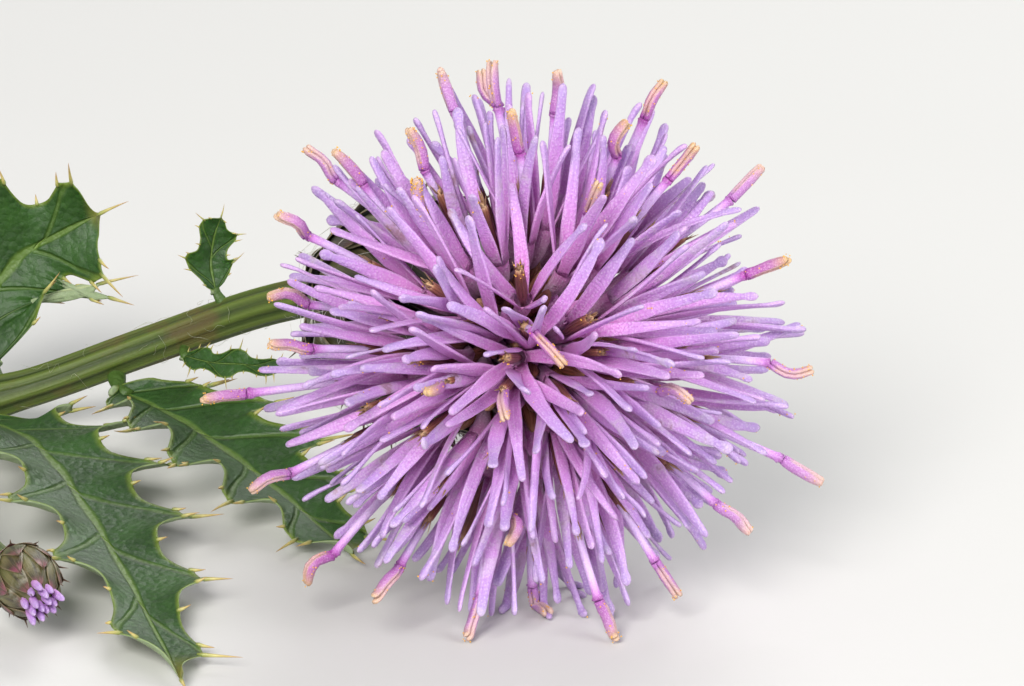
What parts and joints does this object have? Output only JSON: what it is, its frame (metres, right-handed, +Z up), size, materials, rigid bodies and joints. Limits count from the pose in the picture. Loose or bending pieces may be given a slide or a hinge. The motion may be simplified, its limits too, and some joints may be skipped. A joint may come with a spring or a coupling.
{
  "type": "thistle flower",
  "caption": "Round head of splayed lilac thistle florets on a bract cup, picked with a short leafy stem and laid on its side.",
  "frame": {"origin": "middle of the underside of the flower as it lies on a surface", "axes": "+X from the stem's cut end towards the flower head, +Z up, the head's face looks towards -Y and a little towards +X"},
  "size_m": [0.0556, 0.036, 0.0229],
  "materials": {
    "petal": "soft lilac petal, paler at the tips and pinker towards the throat",
    "bract": "dark green-purple scale with cobweb hairs",
    "stem": "ribbed olive green stem with fine hairs",
    "leaf": "mid green leaf with a pale midrib and spiny edge",
    "bud": "green and purple bud scales"
  },
  "bodies": {
    "root": {"floret_01": "petal", "floret_02": "petal", "floret_03": "petal", "floret_04": "petal", "floret_05": "petal", "floret_06": "petal", "floret_07": "petal", "floret_08": "petal", "floret_09": "petal", "floret_10": "petal", "floret_11": "petal", "floret_12": "petal", "floret_13": "petal", "floret_14": "petal", "floret_15": "petal", "floret_16": "petal", "floret_17": "petal", "floret_18": "petal", "floret_19": "petal", "floret_20": "petal", "floret_21": "petal", "floret_22": "petal", "floret_23": "petal", "floret_24": "petal", "floret_25": "petal", "floret_26": "petal", "floret_27": "petal", "floret_28": "petal", "floret_29": "petal", "floret_30": "petal", "floret_31": "petal", "floret_32": "petal", "floret_33": "petal", "floret_34": "petal", "floret_35": "petal", "floret_36": "petal", "floret_37": "petal", "floret_38": "petal", "floret_39": "petal", "floret_40": "petal", "floret_41": "petal", "inner_bract_1": "bract", "inner_bract_2": "bract", "inner_bract_3": "bract", "inner_bract_4": "bract", "inner_bract_5": "bract", "inner_bract_6": "bract", "outer_bract_1": "bract", "outer_bract_2": "bract", "outer_bract_3": "bract", "outer_bract_4": "bract", "outer_bract_5": "bract", "outer_bract_6": "bract", "stem": "stem", "leaf_standing": "leaf", "leaf_forward": "leaf", "leaf_under_head": "leaf", "leaf_small_upper": "leaf", "leaf_small_lower": "leaf", "side_bud": "bud"}
  },
  "joints": []
}
